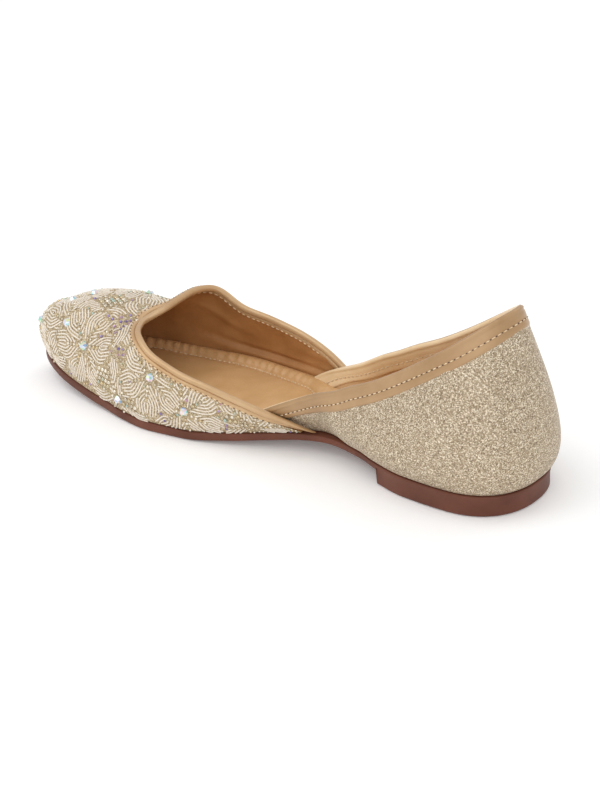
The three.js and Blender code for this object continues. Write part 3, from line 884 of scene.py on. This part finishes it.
def stitchTree():
    # rounded stitches at an even pitch along a path, lying along it and turned up to its aim
    tree, group = newTree("sewn row", "Pitch", "Length", "Thickness")
    path = made(tree, "GeometryNodeMeshToCurve", Mesh=group["Geometry"])
    even = made(tree, "GeometryNodeResampleCurve", {"mode": "LENGTH"}, Curve=path, Length=group["Pitch"])
    tangent = made(tree, "GeometryNodeInputTangent")
    along = made(tree, "FunctionNodeAlignRotationToVector", {"axis": "X"}, Vector=tangent)
    aimed = made(
        tree, "FunctionNodeAlignRotationToVector", {"axis": "Z", "pivot_axis": "X"},
        Rotation=along, Vector=readAttribute(tree, "aim", "FLOAT_VECTOR"),
    )
    bead = made(tree, "GeometryNodeMeshUVSphere", Segments=8, Rings=6, Radius=0.5)
    thick = group["Thickness"]
    size = made(tree, "ShaderNodeCombineXYZ", X=group["Length"], Y=thick, Z=thick)
    placed = made(
        tree, "GeometryNodeInstanceOnPoints", Points=even, Instance=bead, Rotation=aimed, Scale=size
    )
    return endTree(tree, group, placed)


def threadTree():
    # a round thread along each chain of points
    tree, group = newTree("laid thread", "Radius")
    path = made(tree, "GeometryNodeMeshToCurve", Mesh=group["Geometry"])
    circle = made(tree, "GeometryNodeCurvePrimitiveCircle", Resolution=5, Radius=group["Radius"])
    tube = made(tree, "GeometryNodeCurveToMesh", Curve=path, Profile_Curve=circle, Fill_Caps=True)
    return endTree(tree, group, tube)


def trimTree(name, cut):
    # round beads, or stones with flat facets and a table, set on points by their own size and aim
    tree, group = newTree(name, "Height")
    if cut:
        crown = made(
            tree, "GeometryNodeMeshCone", {"fill_type": "NGON"},
            Vertices=8, Radius_Top=0.55, Radius_Bottom=1.0, Depth=0.8,
        )
    else:
        crown = made(tree, "GeometryNodeMeshIcoSphere", Radius=1.0, Subdivisions=2)
    size = made(tree, "ShaderNodeCombineXYZ", X=1.0, Y=1.0, Z=group["Height"])
    shaped = made(tree, "GeometryNodeTransform", Geometry=crown, Scale=size)
    aim = readAttribute(tree, "aim", "FLOAT_VECTOR")
    aimed = made(tree, "FunctionNodeAlignRotationToVector", {"axis": "Z"}, Vector=aim)
    placed = made(
        tree, "GeometryNodeInstanceOnPoints", Points=group["Geometry"], Instance=shaped,
        Rotation=aimed, Scale=readAttribute(tree, "size", "FLOAT"),
    )
    return endTree(tree, group, placed, smooth=not cut)


sewnRow, laidThread = stitchTree(), threadTree()
roundTrim, cutTrim = trimTree("bead set", False), trimTree("stone set", True)
print("node trees made")

outsolePiece = outsole()
insolePiece = insole()
vampPiece, vampSkin = vampShell()
quarterPiece, quarterSkin = quarterShell()
vampBand = foldedBand("vamp_rolled_binding", wingPlaces, wing, noTuck, ("bindingLeather", "bindingLeather"))
# the quarter band's inside half takes the paler copy of its leather: painted light
quarterBand = foldedBand("quarter_folded_band", collarPlaces, collar, wallTuck, ("bandLeather", "bandInsidePaintedLight"))
print("main pieces made")


# Sewing: each row is a path with its own aim; outside, thread and needle holes alternate along it, the
# holes as dark beads of painted shade
sewing = {
    "pitch": 2.6, "thread": 1.75, "thickness": 0.5, "hole": 0.7, "holeWidth": 0.5, "pathSteps": 600,
    "overFace": 0.02, "overBack": 0.12,
}


def sewRow(piece, pitch, length, thickness, material):
    return bakeTree(
        piece, sewnRow, Pitch=pitch * mm, Length=length * mm, Thickness=thickness * mm, Finish=material
    )


def sewnAlong(name, places, band, depthAt, outside):
    turn, up = lowered(places, band["seam"])
    face, back = -bindingProud - sewing["overFace"], last["upperWall"] + bindingProud + sewing["overBack"]
    points = smoothed(skin(turn, up, depthAt(atOf(turn)) + (face if outside else back)))
    aims = inward(turn, up) * (-1 if outside else 1)
    at = atOf(places[0])
    start, stop = band["sewn" if outside else "lined"]
    kept = (at >= start) & (at <= stop)
    points, aims = points[kept], aims[kept]
    run, pitch = runOf(points), sewing["pitch"]
    rows = []
    for label, ahead, long, wide, material in (
        ("thread", 0, sewing["thread"], sewing["thickness"], finish["stitch"]),
        ("holes", pitch / 2, sewing["hole"], sewing["holeWidth"], finish["hole"]),
    )[:2 if outside else 1]:
        fine = np.linspace(ahead, run[-1] - pitch / 2 + ahead, sewing["pathSteps"])
        path, aim = resampled(points, run, fine), resampled(aims, run, fine)
        piece = pointMesh(f"{name}_{label}", path, aim, chains=[(0, len(path))])
        rows.append(sewRow(piece, pitch, long, wide, material))
    return rows


sewnRows = {}
for node, name, places, band, depthAt in (
    ("vamp_binding", "vamp", wingPlaces, wing, noTuck),
    ("quarter_binding", "collar", collarPlaces, collar, wallTuck),
):
    sewnRows[node] = sewnAlong(f"{name}_seam", places, band, depthAt, True)
    sewnRows[node] += sewnAlong(f"{name}_inner_seam", places, band, depthAt, False)


def sockSeam():
    turn = np.linspace(-0.985, 0.985, 900)
    at = atOf(turn)
    inset = sockEdge(turn) + sock["border"]
    height = seatHeight(at) + last["seamGap"] + sock["thickness"] - 0.1
    points = outlinePoint(turn, inset, height)
    aims = np.tile([0, 0, 1.0], (len(turn), 1))
    piece = pointMesh("insole_border_stitches", points, aims, chains=[(0, len(turn))])
    return sewRow(piece, sock["stitchPitch"], sock["stitch"], sock["stitchWidth"], finish["stitch"])


sockStitches = sockSeam()
print("sewing made")


# Thread work on the vamp: flowers of leaf-like petals round a cut stone, drawn flat and laid down
flower = {
    "petals": 6, "length": 19, "half": 6.7, "peak": 0.68, "start": 0.15, "close": 0.12, "endRound": 0.26,
    "pitch": 1.42, "step": 1.5, "rib": 0.85, "ribEnd": 0.58, "ribTip": 0.5, "threadRadius": 0.37,
    "raise": 0.12, "margin": 1.1, "ownMargin": 0.95, "stride": 1.7, "beadRun": (0.21, 0.32, 0.43, 0.54),
    "bead": 0.72, "stone": 2.1, "plainBead": 1.0,
}
stoneFlowers = listed(
    "turn up tilt",
    (0.606, 0.55, 22), (0.746, 0.33, 8), (0.56, 0.3, 35), (0.805, 0.46, 55), (0.935, 0.36, 15),
    (0.9, 0.86, 30), (0.66, 0.1, 50), (1.248, 0.66, 12), (1.16, 0.42, 40), (1.06, 0.3, 5),
    (1.29, 0.25, 28), (1.39, 0.55, 50), (1.447, 0.28, 20), (1.14, 0.9, 0),
)
plainFlowers = listed(  # these have a bead in the middle instead of a stone
    "turn up tilt",
    (0.7, 0.97, 30), (0.86, 0.12, 0), (0.49, 0.14, 10), (1.0, 0.8, 20), (1.3, 0.95, 10),
    (1.51, 0.15, 10), (1.2, 0.1, 0),
)
# bead clusters: rows and columns of domes between the flowers
clusters = listed(
    "turn up rows columns",
    (0.795, 0.93, 5, 4), (0.69, 0.2, 4, 4), (0.64, 0.12, 3, 4), (0.51, 0.28, 2, 3),
    (1.22, 0.2, 3, 4), (1.34, 0.4, 3, 3), (1.0, 0.62, 3, 3),
)
clusterPitch, clusterBead, clusterClear = 2.3, 1.0, 1.5
vampHeart, edgeSlide = Vector((170, 0, 8)), 0.25  # a place inside the toe, and the slack at an edge
violetPatch = {"turn": 0.728, "up": 0.66, "count": 14, "spread": 7.5, "size": 0.75, "room": 1.0}
vampTree = BVHTree.FromPolygons(
    vampSkin.reshape(-1, 3).tolist(), gridFaces(*vampSkin.shape[:2]).tolist()
)


def layDown(point):
    # the nearest place on the vamp's face, and whether the point isn't past the face's edges
    spot, normal, _, _ = vampTree.find_nearest(Vector(point))
    away = Vector(point) - spot
    slide = (away - away.dot(normal) * normal).length
    outwardNormal = normal if normal.dot(spot - vampHeart) > 0 else -normal
    return np.array(spot[:]), np.array(outwardNormal[:]), slide < edgeSlide


def flowerFrame(bloom):
    centre = lastPoint(bloom["turn"], bloom["up"])
    normal = -inward(bloom["turn"], bloom["up"])
    along = unit(np.cross([0, 0, 1.0], normal))
    return centre, along, unit(np.cross(normal, along))


def petalThreads():
    # flat coordinates, first along the petal, then across it: arcs nested one pitch apart, each
    # sweeping out from the rib and on to the petal's open, rounded end
    length, half = flower["length"], flower["half"]
    base, peak = length * flower["start"], length * flower["peak"]
    s = np.linspace(0, 1, 50)
    rise = np.stack([base + (peak - base) * s, half * np.sin(np.pi / 2 * s) ** 1.1 + 0.6 * (1 - s)], axis=1)
    ahead = (length - peak) * s
    tail = np.stack([peak + ahead, half - flower["close"] * ahead], axis=1)
    outline = np.concatenate([rise[:-1], tail])
    run = unit(np.gradient(outline, axis=0))
    normals = np.stack([run[:, 1], -run[:, 0]], axis=1)
    lines = []
    for k in range(math.ceil(half / flower["pitch"])):
        arc = outline + normals * k * flower["pitch"]
        rib = np.where(arc[:, 0] < length * flower["ribEnd"], flower["rib"], flower["ribTip"])
        end = length * (1 - flower["endRound"] * (arc[:, 1] / half) ** 2)
        arc = arc[(arc[:, 1] > rib) & (arc[:, 0] < end)]
        if len(arc) < 4:
            continue
        along = runOf(arc)
        line = resampled(arc, along, np.linspace(0, along[-1], max(4, int(along[-1] / flower["step"]) + 1)))
        lines += [line, line * [1, -1]]
    return lines


def clearRuns(clear, least=3):
    # start and length of each unbroken stretch
    runs, start = [], None
    for i, good in enumerate([*clear, False]):
        if good and start is None:
            start = i
        elif not good and start is not None:
            if i - start >= least:
                runs.append((start, i - start))
            start = None
    return runs


dice = random.Random(7)
threadPoints, threadAims, chains = [], [], []
beads, stones, violets = [], [], []
taken, cleared = [], []  # places of all trims, and places where no thread runs on


def addTrim(store, spot, normal, size):
    store.append((spot, normal, size, dice.random()))
    taken.append((*spot, size))


def free(spot, reach):
    if not taken:
        return True
    others = np.array(taken)
    return bool(np.all(np.linalg.norm(others[:, :3] - spot, axis=1) > others[:, 3] + reach))


def clearOfThreads(spots, start, stop, gap):
    if stop <= start:
        return np.ones(len(spots), bool)
    cloud = np.array(threadPoints[start:stop])
    return np.linalg.norm(spots[:, None] - cloud[None], axis=2).min(axis=1) > gap


def march(spot, heading, distance):
    # goes over the face in short straight strides, turning with it
    strides = max(1, math.ceil(abs(distance) / flower["stride"]))
    on = True
    for _ in range(strides):
        spot, normal, held = layDown(spot + heading * (distance / strides))
        on = on and held
        heading = unit(heading - normal * dot(heading, normal))
    return spot, normal, heading, on


def layPetal(centre, ahead, others):
    # others: how many thread points belong to earlier flowers
    before = len(threadPoints)
    spine = [march(centre, ahead, 0)]
    while (len(spine) - 1) * flower["stride"] <= flower["length"]:
        spine.append(march(spine[-1][0], spine[-1][2], flower["stride"]))
    for line in petalThreads():
        found = []
        for along, across in line:
            base = spine[int(along // flower["stride"])]
            spot, normal, heading, on = march(base[0], base[2], along % flower["stride"])
            spot, normal, _, held = march(spot, np.cross(normal, heading), across)
            found.append((spot, normal, on and held and base[3]))
        spots, normals, on = (np.array(column) for column in zip(*found))
        clear = on & clearOfThreads(spots, 0, others, flower["margin"])
        clear &= clearOfThreads(spots, others, before, flower["ownMargin"])
        for start, count in clearRuns(clear):
            part = slice(start, start + count)
            chains.append((len(threadPoints), count))
            threadPoints.extend(spots[part] + normals[part] * flower["raise"])
            threadAims.extend(normals[part])
    for share in flower["beadRun"]:
        spot, normal, _, on = march(centre, ahead, flower["length"] * share)
        single = np.array([spot])
        if on and free(spot, flower["bead"]) and clearOfThreads(single, 0, before, flower["margin"])[0]:
            addTrim(beads, spot, normal, flower["bead"])


def layFlowers():
    for blooms, store, size in (
        (stoneFlowers, stones, flower["stone"]), (plainFlowers, beads, flower["plainBead"]),
    ):
        for bloom in blooms:
            spot, normal, _ = layDown(flowerFrame(bloom)[0])
            addTrim(store, spot, normal, size)
    for bloom in stoneFlowers + plainFlowers:
        centre, along, across = flowerFrame(bloom)
        others = len(threadPoints)
        for p in range(flower["petals"]):
            angle = math.radians(bloom["tilt"] + 360 * p / flower["petals"])
            ahead = along * math.cos(angle) + across * math.sin(angle)
            layPetal(centre, ahead, others)


def layClusters():
    for group in clusters:
        centre, along, across = flowerFrame(group)
        for row in range(group["rows"]):
            for column in range(group["columns"]):
                side = (column - (group["columns"] - 1) / 2 + 0.5 * (row % 2)) * clusterPitch
                rise = (row - (group["rows"] - 1) / 2) * clusterPitch
                spot, normal, on = layDown(centre + along * side + across * rise)
                if on and free(spot, clusterBead):
                    addTrim(beads, spot, normal, clusterBead * dice.uniform(0.88, 1.05))
                    cleared.append(spot)
    centre, along, across = flowerFrame(violetPatch)
    for _ in range(violetPatch["count"]):
        side, rise = (dice.uniform(-1, 1) * violetPatch["spread"] for _ in range(2))
        spot, normal, on = layDown(centre + along * side + across * rise)
        if on and free(spot, violetPatch["room"]):
            addTrim(violets, spot, normal, violetPatch["size"])
            cleared.append(spot)


def cutThreads(spots, gap):
    # threads stop where a cluster sits on them
    points, aims, kept = [], [], []
    cloud = np.array(spots)
    for start, count in chains:
        line = np.array(threadPoints[start:start + count])
        clear = np.linalg.norm(line[:, None] - cloud[None], axis=2).min(axis=1) > gap
        for first, length in clearRuns(clear):
            kept.append((len(points), length))
            points.extend(line[first:first + length])
            aims.extend(threadAims[start + first:start + first + length])
    return points, aims, kept


layFlowers()
layClusters()
threadPoints, threadAims, chains = cutThreads(cleared, clusterClear)
print("petals laid:", len(chains), "threads")

threadCloud = np.array(threadPoints)
fill = {
    "beads": 420, "tries": 7000, "size": (0.42, 0.72), "gap": 0.3, "fromThread": 0.75,
    "violetShare": 0.1, "violetSize": 1.2,
}
trimLift = 0.1  # how far a trim's middle stands off the cloth


def scatterFill():
    rows, cols = vampSkin.shape[:2]
    made = 0
    for _ in range(fill["tries"]):
        i, j = dice.randrange(2, rows - 3), dice.randrange(1, cols - 2)
        s, t = dice.random(), dice.random()
        a = vampSkin[i, j] * (1 - s) + vampSkin[i + 1, j] * s
        b = vampSkin[i, j + 1] * (1 - s) + vampSkin[i + 1, j + 1] * s
        spot, normal, _ = layDown(a * (1 - t) + b * t)
        size = dice.uniform(*fill["size"])
        near = np.min(np.linalg.norm(threadCloud - spot, axis=1))
        if near < fill["fromThread"] + size * 0.5 or not free(spot, size + fill["gap"]):
            continue
        if dice.random() < fill["violetShare"]:
            addTrim(violets, spot, normal, size * fill["violetSize"])
        else:
            addTrim(beads, spot, normal, size)
        made += 1
        if made >= fill["beads"]:
            break
    return made


print("beads scattered:", scatterFill())


def trimPiece(name, store, tree, height, material):
    spots, normals, sizes, tints = (np.array(column) for column in zip(*store))
    lifted = spots + normals * trimLift
    piece = pointMesh(name, lifted, normals, {"size": sizes * mm, "tint": tints})
    return bakeTree(piece, tree, Height=height, Finish=material)


threadPiece = bakeTree(
    pointMesh("vamp_thread_work", threadPoints, threadAims, chains=chains), laidThread,
    Radius=flower["threadRadius"] * mm, Finish=finish["zari"],
)
trims = [
    trimPiece("vamp_beads", beads, roundTrim, 0.85, finish["bead"]),
    trimPiece("vamp_stones", stones, cutTrim, 0.8, finish["crystal"]),
    trimPiece("vamp_violet_stones", violets, cutTrim, 0.7, finish["violet"]),
]
print("thread work and trims made")


for piece, node in (
    (outsolePiece, "outsole"), (insolePiece, "insole"), (vampPiece, "vamp"), (quarterPiece, "quarter"),
    (vampBand, "vamp_binding"), (quarterBand, "quarter_binding"),
):
    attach(piece, "root")
    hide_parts(node)
for node, rows in sewnRows.items():
    for piece in rows:
        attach(piece, "root")
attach(sockStitches, "root")
for piece in (threadPiece, *trims):
    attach(piece, "root")
print("pieces ride on the shoe")


# Camera: the photograph's angle to the shoe, for an image of 600 by 800
view = {
    "target": (125, 0, 20), "azimuth": 37.0787, "elevation": 25.3092, "roll": -2.10586,
    "distance": 900, "right": 7.0616, "up": -7.0058, "lens": 95.83, "film": 36,
}


def placeCamera():
    azimuth, elevation, roll = (math.radians(view[key]) for key in ("azimuth", "elevation", "roll"))
    level = math.cos(elevation)
    back = Vector((-math.sin(azimuth) * level, math.cos(azimuth) * level, math.sin(elevation)))
    right = Vector((-math.cos(azimuth), -math.sin(azimuth), 0))
    top = back.cross(right)
    spot = Vector(view["target"]) + back * view["distance"] + right * view["right"] + top * view["up"]
    turned = right * math.cos(roll) + top * math.sin(roll)
    raised = -right * math.sin(roll) + top * math.cos(roll)
    data = bpy.data.cameras.new("camera")
    data.sensor_fit = "VERTICAL"
    data.sensor_height = view["film"]
    data.lens = view["lens"]
    data.clip_end = 20
    camera = addObject("camera", data)
    matrix = Matrix((turned, raised, back)).transposed().to_4x4()
    matrix.translation = Vector(toFrame(spot))
    camera.matrix_world = matrix
    bpy.context.scene.camera = camera


# Studio: a pale floor, a pale sky and three soft lights
studio = {"floorSize": 6, "floor": "#ffffff", "sky": 0.78, "glow": 0.1}
lamps = listed(
    "name place size watts",
    ("key", (0.5, 0.45, 1.1), 0.9, 3.9), ("fill", (-0.6, 1.0, 0.5), 1.2, 2.9),
    ("rim", (-0.2, -1.0, 0.8), 0.8, 1.6),
)
lampTarget = Vector((0, 0, 0.03))


def lightStudio():
    bpy.ops.mesh.primitive_plane_add(size=studio["floorSize"], location=(0, 0, -0.0002))
    floor = bpy.context.object
    floor.name = "floor"
    paper, tree, shader, place = newMaterial("white paper")  # seamless studio paper, matt
    colour = ramp(tree, noise(tree, place, 3, 2.0), (0.3, "#fdfdfd"), (0.7, studio["floor"]))
    paint(tree, shader, colour, Roughness=0.9, Specular_IOR_Level=0.1)
    floor.data.materials.append(paper)
    setShader(shader, Emission_Color=(1, 1, 1, 1), Emission_Strength=studio["glow"])
    world = bpy.context.scene.world or bpy.data.worlds.new("studio")
    bpy.context.scene.world = world
    world.use_nodes = True
    sky = world.node_tree.nodes["Background"]
    sky.inputs["Color"].default_value = (1, 1, 1, 1)
    sky.inputs["Strength"].default_value = studio["sky"]
    for lamp in lamps:
        data = bpy.data.lights.new(lamp["name"], "AREA")
        data.size = lamp["size"]
        data.energy = lamp["watts"]
        light = addObject(lamp["name"], data)
        light.location = lamp["place"]
        way = lampTarget - Vector(lamp["place"])
        light.rotation_euler = way.to_track_quat("-Z", "Y").to_euler()
    bpy.context.scene.view_settings.view_transform = "Standard"


placeCamera()
lightStudio()
print("camera and studio set")
